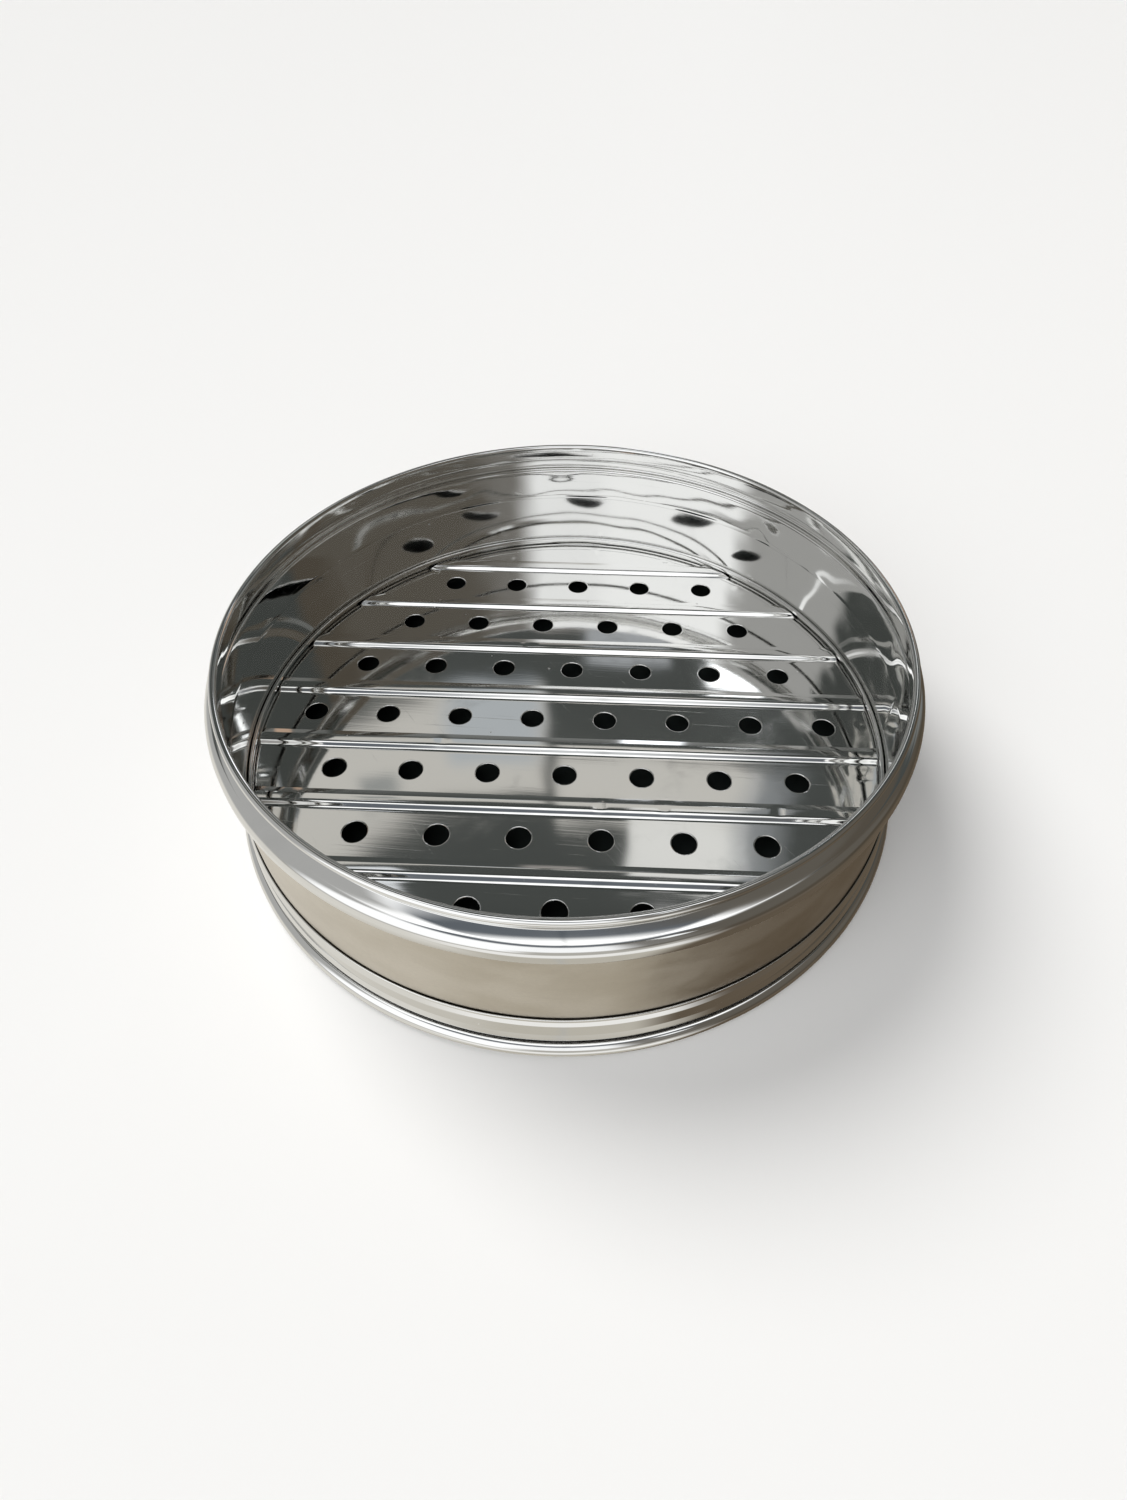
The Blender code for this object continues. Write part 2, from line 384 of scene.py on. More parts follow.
mirrorLook = {
    "colour": (0.80, 0.80, 0.785),
    "dullColour": (0.69, 0.695, 0.68),
    "polish": 0.045,           # roughness of the clean polish
    "smudge": 0.09,            # how much duller the smudges are
    "scratch": 0.16,
    "smudgeScale": 16.0,
    "coverage": 0.45,
    "specks": 0.05,
    "speckColour": (0.9, 0.9, 0.88),
    "bump": 0.02,
}


# Polished sheet. Rings carry their polishing lines round the axis, strips along their length.
def makeMirror(name, look, ringed):
    material, tree, shader, place = startMaterial(name, look["colour"], look["polish"])
    if ringed:
        lineSpace = useGroup(tree, effects["ringDirection"], {"Vector": place}, Across=1.0).outputs["Vector"]
        firstLines = useGroup(tree, effects["fineLines"], {"Vector": lineSpace},
                              Stretch=(9.0, 9.0, 1500.0), Amount=0.42)
    else:
        firstLines = useGroup(tree, effects["fineLines"], {"Vector": place},
                              Stretch=(14.0, 900.0, 900.0), Turn=0.04, Amount=0.42)
    strayLines = useGroup(tree, effects["fineLines"], {"Vector": place},
                          Stretch=(22.0, 1300.0, 260.0), Turn=0.9, Amount=0.34)
    smudges = useGroup(tree, effects["smudges"], {"Vector": place},
                       Scale=look["smudgeScale"], Coverage=look["coverage"])
    specks = useGroup(tree, effects["specks"], {"Vector": place}, Share=look["specks"])
    scratches = maths(tree, "MAXIMUM", firstLines.outputs["Mask"], strayLines.outputs["Mask"])
    rough = maths(tree, "MULTIPLY_ADD", smudges.outputs["Mask"], look["smudge"], look["polish"])
    rough = maths(tree, "MULTIPLY_ADD", scratches, look["scratch"], rough)
    rough = maths(tree, "MULTIPLY_ADD", specks.outputs["Mask"], 0.4, rough)
    tree.links.new(rough, shader.inputs["Roughness"])
    marks = maths(tree, "MULTIPLY_ADD", smudges.outputs["Mask"], 0.5,
                  maths(tree, "MULTIPLY", scratches, 0.35), clamp=True)
    colour = mixColour(tree, marks, look["colour"], look["dullColour"])
    colour = mixColour(tree, specks.outputs["Mask"], colour, look["speckColour"])
    tree.links.new(colour, shader.inputs["Base Color"])
    bump = addNode(tree, "Bump", Strength=look["bump"], Distance=0.0002)
    tree.links.new(firstLines.outputs["Height"], bump.inputs["Height"])
    tree.links.new(bump.outputs["Normal"], shader.inputs["Normal"])
    return material


satinLook = {
    "colour": (0.74, 0.695, 0.615),
    "darkColour": (0.64, 0.59, 0.505),
    # colour of the painted shade in the joints
    "seamShadeColour": (0.09, 0.08, 0.06),
    "roughness": 0.34,
    "patchRoughness": 0.10,
    "bump": 0.10,
    "grainColour": (0.52, 0.49, 0.44),
    "seams": [(0.0671, 0.0012), (0.0231, 0.0006)],     # height and half width of the painted shade at a joint
    # a short level scratch at the front, in metres
    "nickColour": (0.98, 0.97, 0.94), "nickHeight": 0.0648, "nickHalfHeight": 0.00022,
    "nickMiddle": -0.0085, "nickHalfLength": 0.0062, "frontBelow": -0.1,
}


# Dull cold-rolled sheet of the outer wall, with a short level scratch at the front.
def makeSatin(name, look):
    material, tree, shader, place = startMaterial(name, look["colour"], look["roughness"])
    ringSpace = useGroup(tree, effects["ringDirection"], {"Vector": place}, Across=2.2).outputs["Vector"]
    mottle = useGroup(tree, effects["mottle"], {"Vector": ringSpace}, Cloud=26.0, Grain=700.0)
    lines = useGroup(tree, effects["fineLines"], {"Vector": ringSpace},
                     Stretch=(10.0, 10.0, 900.0), Amount=0.4)
    smudges = useGroup(tree, effects["smudges"], {"Vector": place}, Scale=22.0, Coverage=0.5)
    apart = addNode(tree, "SeparateXYZ")
    tree.links.new(place, apart.inputs["Vector"])
    onHeight = maths(tree, "COMPARE", apart.outputs["Z"], look["nickHeight"], look["nickHalfHeight"])
    onLength = maths(tree, "COMPARE", apart.outputs["X"], look["nickMiddle"], look["nickHalfLength"])
    onFront = maths(tree, "LESS_THAN", apart.outputs["Y"], look["frontBelow"])
    nick = maths(tree, "MULTIPLY", maths(tree, "MULTIPLY", onHeight, onLength), onFront)
    patches = mapRange(tree, mottle.outputs["Cloud"], 0.3, 0.7, 0.0, 1.0)
    colour = mixColour(tree, patches, look["darkColour"], look["colour"])
    grainShade = mapRange(tree, mottle.outputs["Grain"], 0.3, 0.7, 0.0, 0.16)
    colour = mixColour(tree, grainShade, colour, look["grainColour"])
    colour = mixColour(tree, nick, colour, look["nickColour"])
    # painted shade: dark bands on the wall just under the collar's bead and just above the skirt's flange
    for height, halfWidth in look["seams"]:
        seamShadeMask = useGroup(tree, effects["seamShade"], {"Height": apart.outputs["Z"], "Vector": place},
                         Centre=height, HalfWidth=halfWidth)
        colour = mixColour(tree, seamShadeMask.outputs["Mask"], colour, look["seamShadeColour"])
    tree.links.new(colour, shader.inputs["Base Color"])
    rough = maths(tree, "MULTIPLY_ADD", patches, look["patchRoughness"], look["roughness"])
    rough = maths(tree, "MULTIPLY_ADD", smudges.outputs["Mask"], 0.06, rough)
    rough = maths(tree, "MULTIPLY_ADD", lines.outputs["Mask"], -0.1, rough)
    rough = maths(tree, "MULTIPLY_ADD", nick, -0.25, rough, clamp=True)
    tree.links.new(rough, shader.inputs["Roughness"])
    bump = addNode(tree, "Bump", Strength=look["bump"], Distance=0.0003)
    tree.links.new(mottle.outputs["Grain"], bump.inputs["Height"])
    tree.links.new(bump.outputs["Normal"], shader.inputs["Normal"])
    return material


# Drawn wire inside the curled edges.
def makeWire(name):
    material, tree, shader, place = startMaterial(name, (0.6, 0.59, 0.57), 0.28)
    mottle = useGroup(tree, effects["mottle"], {"Vector": place}, Cloud=60.0, Grain=1500.0)
    shade = mixColour(tree, mottle.outputs["Cloud"], (0.5, 0.49, 0.47), (0.68, 0.67, 0.65))
    tree.links.new(shade, shader.inputs["Base Color"])
    tree.links.new(mapRange(tree, mottle.outputs["Grain"], 0.3, 0.7, 0.22, 0.4), shader.inputs["Roughness"])
    return material


mirrorRing = makeMirror("mirrorRing", mirrorLook, True)
mirrorWall = makeMirror("mirrorWall", dict(mirrorLook, polish=0.085, coverage=0.5), True)
mirrorFloor = makeMirror("mirrorFloor", dict(mirrorLook, polish=0.055, specks=0.07), False)
satinSteel = makeSatin("satinSteel", satinLook)
wireSteel = makeWire("wireSteel")
print("materials made")


wall = {
    "top": 67.75, "bottom": 12.0,
    "steps": 240, "seam": -3.0, "seamSpan": 12.0, "seamSteps": 130,
    "seamHeight": 0.16, "ripple": 0.06,
    # dents about the weld: degrees, height, spread, depth
    "dents": [(-6.5, 58, 4.5, 0.42), (1.5, 47, 5.5, -0.35), (-9.5, 38, 5.0, 0.32), (4.0, 62, 3.5, 0.3),
              (7.0, 33, 4.5, -0.28), (-2.0, 28, 4.0, 0.3), (28.0, 50, 6.0, 0.2), (46.0, 56, 5.0, -0.22),
              (66.0, 44, 7.0, 0.16), (112.0, 52, 6.0, 0.2), (150.0, 40, 7.0, -0.18), (172.0, 55, 6.0, 0.2),
              (-160.0, 46, 6.0, 0.22), (80.0, 41, 8.0, 0.24), (95.0, 55, 7.0, -0.22), (128.0, 36, 8.0, 0.24),
              (20.0, 36, 5.0, -0.26), (36.0, 40, 5.0, 0.25), (54.0, 37, 6.0, 0.22)],
}


# Shallow dents and waves in the wall, which the collar's flange inside it follows.
def wallWaves(angle, height):
    longWave = 0.7 * np.cos(14 * angle + height / 11)
    shortWave = 0.5 * np.cos(29 * angle - height / 8 + 1)
    move = wall["ripple"] * (longWave + shortWave)
    fade = np.clip((height - 24) / 8, 0, 1) * np.clip((66 - height) / 6, 0, 1)
    for turn, level, spread, depth in wall["dents"]:
        along = ((np.degrees(angle) - turn + 180) % 360 - 180) * math.radians(1) * tier["wallOutside"]
        move = move + depth * np.exp(-(along ** 2 + (height - level) ** 2) / (2 * spread ** 2))
    return move * fade


collar = {
    "curlRadius": 1.25, "curlCentre": (148.4, 84.2),
    "shoulderFoot": 77.9, "shoulderEnd": (150.98, 76.17),
    "beadRadius": 154.45, "beadCentre": 72.03, "beadRound": 4.2,
    "tuckHeight": 68.4, "flangeEnd": 50.0, "flangeTaper": 0.3,
    "steps": 300, "ripple": 0.02,
}


def makeCollar():
    curl = arcPoints(collar["curlCentre"], collar["curlRadius"], -80, 180, 26)
    neck = collar["curlCentre"][0] - collar["curlRadius"]
    beadMiddle = (collar["beadRadius"] - collar["beadRound"], collar["beadCentre"])
    bead = arcPoints(beadMiddle, collar["beadRound"], 80, 0, 16)
    body = bentPath([
        (neck, collar["curlCentre"][1], 0),
        (neck, collar["shoulderFoot"], 0.7),
        (*collar["shoulderEnd"], 0),
    ] + [(radius, height, 0) for radius, height in bead[1:-1]] + [
        (collar["beadRadius"], collar["tuckHeight"], 1.5),
        (tier["innerLap"], collar["tuckHeight"], 0.9),
        (tier["innerLap"], collar["flangeEnd"], 0),
    ], 7)
    loop = sheetLoop(evenPath(curl + body[1:], 2.5), tier["sheet"])
    ripple = collar["ripple"]

    def push(angle, radius, height):
        inside = np.clip((68 - height) / 18, 0, 1)
        taper = -collar["flangeTaper"] * inside ** 1.5
        loose = inside * 0.05 * np.cos(11 * angle + 0.8)
        waves = wallWaves(angle, height) * (radius < tier["wallOutside"] - 0.4)
        fine = ripple * (np.cos(17 * angle + height / 9) + 0.6 * np.cos(31 * angle - height / 5 + 1.3))
        return taper + loose + waves + fine

    mesh = turnedRing("collarSheet", loop, turnSteps(collar["steps"]), push)
    return addPiece("collarSheet", mesh, "upper_collar", [mirrorRing])


skirt = {"steps": 300, "ripple": 0.02, "ribHeight": 0.8, "curlRadius": 2.95, "curlCentre": (154.4, 3.3)}


def makeSkirt():
    out = tier["skirtRadius"]
    curl = arcPoints(skirt["curlCentre"], skirt["curlRadius"], 126, 450, 40)
    body = bentPath([
        (tier["lapRadius"], 23.0, 0),
        (tier["lapRadius"], 21.6, 0.9),
        (out, 19.8, 1.2),
        (out, 13.0, 1.4),
        (out + skirt["ribHeight"], 10.3, 1.5),
        (out, 7.6, 1.3),
        (curl[0][0], curl[0][1], 0),
    ], 6)
    loop = sheetLoop(body[:-1] + curl, tier["sheet"])
    ripple = skirt["ripple"]

    def push(angle, radius, height):
        return ripple * (np.cos(19 * angle + height / 7) + 0.6 * np.cos(37 * angle + 0.4))

    mesh = turnedRing("skirtSheet", loop, turnSteps(skirt["steps"]), push)
    return addPiece("skirtSheet", mesh, "lower_skirt", [mirrorRing])


def makeWall():
    middle = tier["wallOutside"] - tier["sheet"] / 2
    path = evenPath([(middle, wall["top"]), (middle, wall["bottom"])], 1.6)
    loop = sheetLoop(path, tier["sheet"])
    angles = turnSteps(wall["steps"], wall["seam"], wall["seamSpan"], wall["seamSteps"])

    def push(angle, radius, height):
        around = (np.degrees(angle) - wall["seam"] + 180) % 360 - 180
        fade = np.clip((height - 24) / 8, 0, 1) * np.clip((49 - height) / 3, 0, 1)
        wander = 0.12 * np.sin(height / 6)
        seam = wall["seamHeight"] * np.exp(-((around + wander) / 0.28) ** 2) * fade
        return wallWaves(angle, height) + seam

    mesh = turnedRing("wallSheet", loop, angles, push)
    piece = addPiece("wallSheet", mesh, "wall_band", [satinSteel, mirrorWall])
    for face in mesh.polygons:
        outwards = Vector((face.center.x, face.center.y, 0)).dot(face.normal) > 0
        face.material_index = 0 if outwards else 1
    return piece


ledgeRing = {"steps": 300, "hemCentre": 21.0, "hemRadius": 0.5, "hemEnd": 19.4, "flat": 15.95, "width": 12.0,
             "bend": 0.9}


def makeFloorRing():
    leg, hem = tier["innerLap"], ledgeRing["hemRadius"]
    fold = arcPoints((leg - hem, ledgeRing["hemCentre"]), hem, 180, 0, 12)
    path = bentPath([
        (leg, ledgeRing["hemCentre"], 0),
        (leg, ledgeRing["flat"], ledgeRing["bend"]),
        (leg - ledgeRing["width"], ledgeRing["flat"], 0),
    ], 8)
    path = [(leg - 2 * hem, ledgeRing["hemEnd"])] + fold + path[1:]
    loop = sheetLoop(evenPath(path, 3.0), tier["sheet"] - 0.02)

    def push(angle, radius, height):
        return 0.03 * np.cos(23 * angle + 0.7) + 0.02 * np.cos(41 * angle)

    mesh = turnedRing("floorRingSheet", loop, turnSteps(ledgeRing["steps"]), push)
    return addPiece("floorRingSheet", mesh, "floor_ring", [mirrorFloor])


def makeWireRing(name, nodeName, centre, radius, turns):
    loop = np.array(arcPoints(centre, radius, 0, 360, turns)[:-1])
    mesh = turnedRing(name, loop, turnSteps(240))
    return addPiece(name, mesh, nodeName, [wireSteel])


makeCollar()
makeSkirt()
makeWall()
makeFloorRing()
makeWireRing("topWire", "top_rim_wire", collar["curlCentre"], 0.6, 14)
makeWireRing("bottomWire", "bottom_rim_wire", skirt["curlCentre"], 2.2, 20)
print("rings turned")


floorPlan = {
    "strips": 9, "pitch": 35.5, "holePitch": 36.0, "holeRadius": 5.5, "mostHoles": 8,
    "edge": 149.2, "ridgeHeight": 1.5, "slopeFoot": 5.2, "crownFront": 2.6, "crownBack": 1.5, "freeEdge": 4.4,
    "lapStart": 1.2, "footBend": 4.2, "crownBend": 3.6,
    "grid": 1.5, "patch": 10.5, "rollOver": 0.45,
    "floorMiddle": tier["floorTop"] - tier["sheet"] / 2,
}

# Slight dishing of each strip, across its width (mm), and its long waves (height, phase).
stripSag = {
    1: (0.05, 0.03, 0.3), 2: (0.07, 0.05, 1.9), 3: (-0.06, 0.05, 4.1), 4: (0.08, 0.06, 2.6),
    5: (-0.07, 0.06, 0.8), 6: (0.05, 0.05, 5.2), 7: (0.08, 0.05, 3.4), 8: (-0.06, 0.05, 1.2),
    9: (0.05, 0.04, 2.2),
}

# Spot welds to the floor ring, and small knocks on the ridges: x, y, spread, depth.
spotWelds = [(8.7, 140.9), (51.7, 133.7), (-42.5, 132.2), (93.8, 109.1), (123.7, 76.3), (139.5, 44.2),
             (144.2, 3.0), (140.2, -31.3), (126.0, -71.0), (97.0, -106.0), (55.0, -133.5), (5.0, -143.5),
             (-45.0, -136.5), (-90.0, -112.5), (-122.0, -77.0), (-139.5, -40.0), (-144.2, 3.0),
             (-137.5, 42.0), (-118.0, 82.0), (-85.0, 117.0)]
knocks = [(17.0, -53.3, 1.6, 0.22), (46.0, -53.2, 1.8, 0.2), (97.0, -53.4, 1.5, 0.24),
          (-60.0, -17.8, 1.7, 0.15), (31.0, 88.6, 1.6, 0.14), (-24.0, 52.9, 1.8, 0.16)]


def reachAt(y):
    return np.sqrt(np.maximum(floorPlan["edge"] ** 2 - np.asarray(y, float) ** 2, 0))


# Rise of the strip's surface at a point, in millimetres.
def stripRise(number, x, y):
    sag, wave, phase = stripSag[number]
    offset = y - (number - 5) * floorPlan["pitch"]
    middle = np.clip(1 - (offset / 16) ** 2, -0.2, 1)
    rise = sag * middle * (1 + 0.35 * np.sin(x / 31 + phase))
    rise = rise + wave * np.sin(x / 17 + phase) * np.cos(offset / 22 + phase) * 0.6
    rise = rise + 0.012 * np.sin(x / 6.1 + offset / 9 + 2 * phase) * middle
    for place in spotWelds:
        away = np.hypot(x - place[0], y - place[1])
        rise = rise - 0.22 * np.exp(-(away / 1.5) ** 2) + 0.05 * np.exp(-((away - 3.2) / 1.0) ** 2)
    for px, py, spread, depth in knocks:
        rise = rise - depth * np.exp(-((x - px) ** 2 + (y - py) ** 2) / (2 * spread ** 2))
    return rise


# The strip's section: front edge, flat, ridge and free edge, with a row wherever the mesh needs one.
def stripSection(first, last):
    half = floorPlan["pitch"] / 2
    middle = floorPlan["floorMiddle"]
    crown = middle + floorPlan["ridgeHeight"]
    start = -half - floorPlan["lapStart"]
    patch, grid = floorPlan["patch"], floorPlan["grid"]
    if first:
        corners = [(-8.0 + 1.0 * i, middle, 0) for i in range(20)]
    elif last:
        return [(start + 1.0 * i, middle) for i in range(29)]
    else:
        corners = [(y, middle, 0) for y in (start, -17.4, -15.9, -14.5, -13.1, -11.8)]
        corners += [(-patch + grid * i, middle, 0) for i in range(int(2 * patch / grid) + 1)]
    corners += [
        (half - floorPlan["slopeFoot"], middle, floorPlan["footBend"]),
        (half - floorPlan["crownFront"], crown, floorPlan["crownBend"]),
        (half + floorPlan["crownBack"], crown, floorPlan["crownBend"]),
        (half + floorPlan["freeEdge"], middle + 1.0, 0),
    ]
    return bentPath(corners, 5)


def makeStrip(number):
    first, last = number == 1, number == floorPlan["strips"]
    fromMiddle = abs(number - 5)
    centreY = (number - 5) * floorPlan["pitch"]
    holes = 0 if fromMiddle == 4 else floorPlan["mostHoles"] - fromMiddle
    section = stripSection(first, last)
    if first:
        section = [(y, z) for y, z in section if centreY + y > -floorPlan["edge"] + 0.15]
    if last:
        section = [(y, z) for y, z in section if centreY + y < floorPlan["edge"] - 0.15]
    line = np.array(section)
    half = tier["sheet"] / 2
    _, across = sideways(line)
    rowY = centreY + line[:, 0]
    grid, patch = floorPlan["grid"], floorPlan["patch"]
    centres = [(i - (holes - 1) / 2) * floorPlan["holePitch"] for i in range(holes)]
    if holes:
        inner = centres[-1] + patch
        columns = np.linspace(-inner, inner, int(round(2 * inner / grid)) + 1)
        ends = 9
        shares = np.linspace(0, 1, ends + 1)[1:]
        kept = np.minimum(inner, reachAt(rowY) - 6)
        middleX = columns[None] * (kept / inner)[:, None]
        endX = kept[:, None] + (reachAt(rowY) - kept)[:, None] * shares[None]
        rowX = np.hstack([-endX[:, ::-1], middleX, endX])
    else:
        ends = 0
        columns = np.linspace(-1, 1, 190)
        rowX = columns[None] * reachAt(rowY)[:, None]
    rows, wide = rowX.shape
    gridY = np.repeat(rowY[:, None], wide, 1)
    lift = stripRise(number, rowX, gridY)
    sideY, sideZ = across[:, 0][:, None] * half, across[:, 1][:, None] * half
    if np.median(across[:, 1]) < 0:
        sideY, sideZ = -sideY, -sideZ
    upper = np.stack([rowX, gridY + sideY, line[:, 1][:, None] + sideZ + lift], 2).reshape(-1, 3)
    lower = np.stack([rowX, gridY - sideY, line[:, 1][:, None] - sideZ + lift], 2).reshape(-1, 3)

    # The squares round the holes are left out of the grid and filled with rings of faces.
    blocked = np.zeros((rows - 1, wide - 1), bool)
    spots = []
    if holes:
        rowStart = int(np.argmin(np.abs(line[:, 0] + patch)))
        span = int(round(2 * patch / grid))
        for centre in centres:
            columnStart = ends + int(round((centre - patch + inner) / grid))
            blocked[rowStart:rowStart + span, columnStart:columnStart + span] = True
            spots.append((centre, rowStart, columnStart, span))
    faces = []
    for i, j in zip(*np.nonzero(~blocked)):
        corner = int(i * wide + j)
        faces.append((corner, corner + 1, corner + wide + 1, corner + wide))

    upperMore, lowerMore = [], []
    total = rows * wide
    radius, roll = floorPlan["holeRadius"], floorPlan["rollOver"]
    steps = [(radius, 1.0), (radius + 0.04, 0.91), (radius + 0.12, 0.74), (radius + 0.25, 0.56),
             (radius + roll, 0.0), (radius + roll + 0.12, 0.0)]
    flats = [0.12, 0.3, 0.52, 0.76]
    topZ, bottomZ = tier["floorTop"], tier["floorTop"] - tier["sheet"]
    for centre, rowStart, columnStart, span in spots:
        walk = [(rowStart, columnStart + k) for k in range(span)]
        walk += [(rowStart + k, columnStart + span) for k in range(span)]
        walk += [(rowStart + span, columnStart + span - k) for k in range(span)]
        walk += [(rowStart + span - k, columnStart) for k in range(span)]
        border = np.array([i * wide + j for i, j in walk])
        edgePlaces = np.stack([rowX.reshape(-1)[border], gridY.reshape(-1)[border]], 1)
        turn = np.arctan2(edgePlaces[:, 1] - centreY, edgePlaces[:, 0] - centre)
        unit = np.stack([np.cos(turn), np.sin(turn)], 1)
        middle = np.array([centre, centreY])
        rings = []
        for away, _ in steps:
            rings.append((middle + unit * away, away))
        lastCircle = rings[-1][0]
        for share in flats:
            rings.append((lastCircle * (1 - share) + edgePlaces * share, None))
        count = len(walk)
        for places, away in rings:
            raised = stripRise(number, places[:, 0], places[:, 1])
            drop = 0.0
            if away is not None and away < radius + roll:
                drop = roll - math.sqrt(max(roll ** 2 - (radius + roll - away) ** 2, 0))
            upperMore.append(np.column_stack([places, topZ - drop + raised]))
            lowerMore.append(np.column_stack([places, bottomZ + raised]))
        for k in range(len(rings)):
            here = [total + k * count + m for m in range(count)]
            there = border.tolist()
            if k + 1 < len(rings):
                there = [total + (k + 1) * count + m for m in range(count)]
            for m in range(count):
                n = (m + 1) % count
                faces.append((int(here[m]), int(there[m]), int(there[n]), int(here[n])))
        total += len(rings) * count
    upper = np.vstack([upper] + upperMore)
    lower = np.vstack([lower] + lowerMore)
    used = np.unique(np.array([i for face in faces for i in face]))
    renumber = -np.ones(len(upper), int)
    renumber[used] = np.arange(len(used))
    faces = [tuple(int(renumber[i]) for i in face) for face in faces]
    mesh = closedSheet(f"floorStrip{number}", upper[used], lower[used], faces)
    return addPiece(f"floorStrip{number}", mesh, f"floor_strip_{number}", [mirrorFloor])


for number in range(1, floorPlan["strips"] + 1):
    strip = makeStrip(number)
    print("strip", number, len(strip.data.polygons), "faces")


# the pad colour is painted shade: a dark disc stands in for the shade under the tier
ground = {"size": 16.0, "middle": 0.1535, "shadePadColour": (0.035, 0.042, 0.040), "colour": (0.86, 0.855, 0.845),
          "roughness": 0.62}


def makeGround():
    materials = {}
    for name, colour in (("shadePad", ground["shadePadColour"]), ("studioFloor", ground["colour"])):
        material = bpy.data.materials.new(name)
        material.use_nodes = True
        shader = material.node_tree.nodes["Principled BSDF"]
        shader.inputs["Base Color"].default_value = (*colour, 1)
        shader.inputs["Roughness"].default_value = ground["roughness"]
        shader.inputs["Specular IOR Level"].default_value = 0.1
        materials[name] = material
    turns = np.radians(np.arange(0, 360, 3.0))
    inner = [(ground["middle"] * math.cos(a), ground["middle"] * math.sin(a), 0) for a in turns]
    outer = [(ground["size"] * math.cos(a), ground["size"] * math.sin(a), 0) for a in turns]
    count = len(turns)
    bands = [(i, (i + 1) % count, (i + 1) % count + count, i + count) for i in range(count)]
    floors = []
    for name, places, faces in (("shadePad", inner, [tuple(range(count))]),      # dark disc under the tier, painted shade seen through the floor's holes
                                ("studioFloor", inner + outer, [band[::-1] for band in bands])):
        mesh = bpy.data.meshes.new(name)
        mesh.from_pydata(places, [], faces)
        mesh.materials.append(materials[name])
        floor = bpy.data.objects.new(name, mesh)
        floor.location.z = -0.0002
        bpy.context.scene.collection.objects.link(floor)
        floors.append(floor)
    floors[1].visible_glossy = False     # the polish reflects the table card instead


# One soft card of the studio, by direction: 0 degrees is behind the tier (+Y), 90 to its right (+X).
def makeSoftCard():
    group, start, end = newGroup(
        "softCard",
        [("Under", "Color", (0, 0, 0, 1)), ("Turn", "Float", 0.0), ("Rise", "Float", 0.0),
         ("Azimuth", "Float", 0.0), ("Elevation", "Float", 0.0), ("Width", "Float", 30.0),
         ("Height", "Float", 20.0), ("Softness", "Float", 3.0), ("Colour", "Color", (1, 1, 1, 1)),
         ("Cover", "Float", 1.0)],
        [("Colour", "Color")])
    turned = maths(group, "SUBTRACT", start.outputs["Turn"], start.outputs["Azimuth"])
    away = maths(group, "ABSOLUTE", maths(group, "WRAP", turned, 180.0, -180.0))
    raised = maths(group, "SUBTRACT", start.outputs["Rise"], start.outputs["Elevation"])
    above = maths(group, "ABSOLUTE", raised)
    masks = []
    for offset, size in ((away, "Width"), (above, "Height")):
        inside = maths(group, "SUBTRACT", maths(group, "MULTIPLY", start.outputs[size], 0.5), offset)
        share = maths(group, "DIVIDE", inside, start.outputs["Softness"])
        masks.append(mapRange(group, share, -0.5, 0.5, 0.0, 1.0))
    cover = maths(group, "MULTIPLY", maths(group, "MULTIPLY", masks[0], masks[1]), start.outputs["Cover"])
    mix = addNode(group, "Mix", {"data_type": "RGBA"})
    group.links.new(cover, mix.inputs[0])
    group.links.new(start.outputs["Under"], mix.inputs[6])
    group.links.new(start.outputs["Colour"], mix.inputs[7])
    group.links.new(mix.outputs[2], end.inputs["Colour"])
    return group


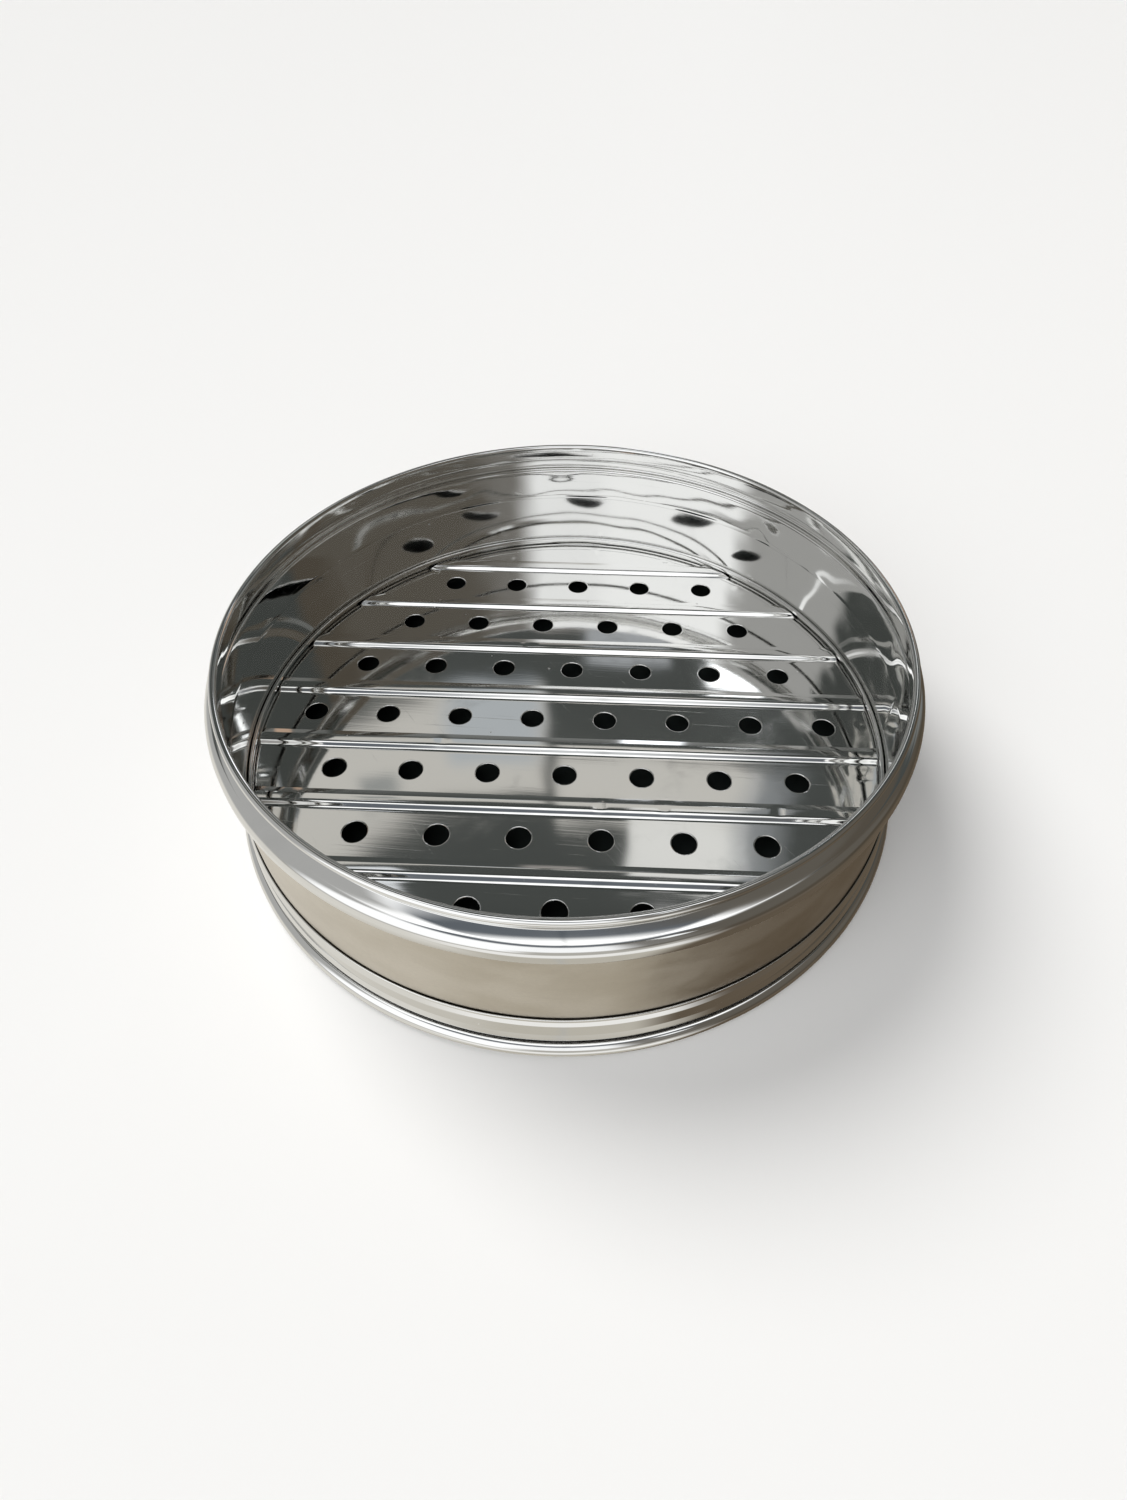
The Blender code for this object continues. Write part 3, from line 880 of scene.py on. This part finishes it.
# Studio surround: azimuth, elevation, width, height, softness, colour and cover of each card.
# Later cards lie over earlier ones.
studioCards = [
    (0, -50, 360, 84, 8, (0.56, 0.53, 0.465), 1.0),         # table, all round
    (180, -18, 150, 34, 10, (1.0, 0.99, 0.97), 1.0),        # its bright front edge
    (-95, -30, 110, 60, 22, (0.80, 0.78, 0.73), 1.0),       # left
    (78, -40, 130, 100, 22, (0.115, 0.088, 0.06), 0.97),    # dark brown right
    (0, 82, 360, 44, 8, (1.45, 1.46, 1.48), 1.0),           # overhead softbox
    (180, 30, 120, 64, 10, (1.15, 1.16, 1.18), 1.0),        # bright front
    (180, 6, 150, 26, 8, (0.44, 0.42, 0.38), 0.9),          # low front
    (-90, 30, 110, 62, 20, (0.46, 0.46, 0.455), 1.0),       # left side
    (-142, 34, 56, 66, 12, (1.25, 1.26, 1.28), 1.0),        # bright front left
    (85, 22, 120, 76, 18, (0.085, 0.070, 0.052), 0.96),     # dark right side
    (0, 67, 150, 24, 5, (0.055, 0.060, 0.057), 1.0),        # back, above the cards
    (0, 44, 130, 34, 6, (0.070, 0.076, 0.073), 1.0),        # back, dark
    (-20, 49, 28, 8, 1.4, (0.60, 0.585, 0.55), 1.0),        # grey card, left
    (-11, 47, 9, 4.6, 2.2, (0.42, 0.47, 0.52), 0.7),        # its cooler end
    (-24, 50.5, 4, 2.2, 1.6, (0.24, 0.26, 0.26), 0.8),      # dark mark on it
    (6, 51.6, 22, 5.6, 1.2, (0.62, 0.605, 0.57), 1.0),      # grey card, right
    (10.5, 55.6, 14, 3.8, 1.0, (0.82, 0.82, 0.80), 1.0),    # brighter top of it
    (18, 53, 5, 9, 2.5, (0.36, 0.38, 0.40), 0.6),           # fading right end
    (-29, 57, 9, 4, 1.6, (0.85, 0.88, 0.92), 1.0),          # light spot, upper left
    (9, 60.4, 4, 2.4, 1.6, (0.34, 0.34, 0.34), 0.9),
    (12.5, 43, 5, 3.6, 0.8, (1.9, 1.95, 2.0), 1.0),         # window
    (2, 42, 8, 2.4, 1.2, (0.42, 0.44, 0.46), 0.95),
    (-4, 40, 5, 2.4, 1.2, (0.38, 0.36, 0.34), 0.9),
    (0, 19, 120, 26, 8, (0.20, 0.205, 0.20), 1.0),          # low back
    (4, 22, 5, 22, 1.0, (1.8, 1.85, 1.95), 1.0),            # tall slit window at the back
    (34, 24, 10, 16, 2.0, (0.75, 0.52, 0.38), 0.8),         # warm patch
    (178, 66, 130, 17, 12, (0.050, 0.066, 0.088), 0.93),    # dark card in front, over the viewer
    (122, 36, 80, 58, 12, (0.13, 0.118, 0.10), 0.9),        # dark front right
    (143, 54, 9, 12, 4, (1.3, 1.33, 1.36), 0.9),            # a light in it
]
surround = {"base": (0.5, 0.5, 0.49), "strength": 1.0, "onMatt": 0.62,
            "backdrop": (0.86, 0.86, 0.85)}


def makeSurround():
    softCard = makeSoftCard()
    world = bpy.data.worlds.new("studio")
    bpy.context.scene.world = world
    world.use_nodes = True
    tree = world.node_tree
    background = tree.nodes["Background"]
    direction = tree.nodes.new("ShaderNodeTexCoord").outputs["Generated"]
    apart = addNode(tree, "SeparateXYZ")
    tree.links.new(direction, apart.inputs["Vector"])
    turn = maths(tree, "DEGREES", maths(tree, "ARCTAN2", apart.outputs["X"], apart.outputs["Y"]))
    rise = maths(tree, "DEGREES", maths(tree, "ARCSINE", apart.outputs["Z"]))
    under = tree.nodes.new("ShaderNodeRGB")
    under.outputs[0].default_value = (*surround["base"], 1)
    colour = under.outputs[0]
    for azimuth, elevation, width, height, softness, shade, cover in studioCards:
        card = useGroup(tree, softCard, {"Under": colour, "Turn": turn, "Rise": rise},
                        Azimuth=azimuth, Elevation=elevation, Width=width, Height=height,
                        Softness=softness, Colour=(*shade, 1), Cover=cover)
        colour = card.outputs["Colour"]
    rays = tree.nodes.new("ShaderNodeLightPath")
    # the camera sees a plain backdrop, not the cards
    seen = mixColour(tree, rays.outputs["Is Camera Ray"], colour, surround["backdrop"])
    tree.links.new(seen, background.inputs["Color"])
    matt = rays.outputs["Is Diffuse Ray"]     # lit less by the cards, and by the lamps too
    strength = mapRange(tree, matt, 0, 1, surround["strength"], surround["onMatt"], smooth=False)
    tree.links.new(strength, background.inputs["Strength"])


lamps = [
    # name, azimuth and elevation that the light comes from, size in degrees, strength, colour
    ("keyLight", -52, 50, 34, 2.1, (1.0, 0.99, 0.975)),
    ("fillLight", -150, 46, 60, 1.25, (0.98, 0.99, 1.0)),
]


def makeLamps():
    for name, azimuth, elevation, size, strength, colour in lamps:
        light = bpy.data.lights.new(name, "SUN")
        light.energy = strength
        light.angle = math.radians(size)
        light.color = colour
        lamp = bpy.data.objects.new(name, light)
        bpy.context.scene.collection.objects.link(lamp)
        a, e = math.radians(azimuth), math.radians(elevation)
        source = Vector((math.sin(a) * math.cos(e), math.cos(a) * math.cos(e), math.sin(e)))
        lamp.rotation_euler = source.to_track_quat("Z", "Y").to_euler()
        lamp.location = source * 2
        lamp.visible_glossy = False


view = {
    "place": (0.01699, -0.27888, 0.31872),
    "target": (0.00771, 0.02955, 0.0173),
    "roll": 0.625,            # degrees
    "lens": 19.83,
    "shift": (-0.0151, -0.0478),
}


def makeCamera():
    data = bpy.data.cameras.new("camera")
    camera = bpy.data.objects.new("camera", data)
    bpy.context.scene.collection.objects.link(camera)
    data.sensor_width = 36
    data.lens = view["lens"]
    data.shift_x, data.shift_y = view["shift"]
    data.clip_start = 0.01
    data.clip_end = 100
    look = Vector(view["target"]) - Vector(view["place"])
    level = look.to_track_quat("-Z", "Y").to_matrix()
    turned = level @ Matrix.Rotation(math.radians(view["roll"]), 3, "Z")
    camera.matrix_world = Matrix.Translation(view["place"]) @ turned.to_4x4()
    bpy.context.scene.camera = camera


makeGround()
makeSurround()
makeLamps()
makeCamera()
bpy.context.scene.view_settings.view_transform = "Standard"
print("studio set")
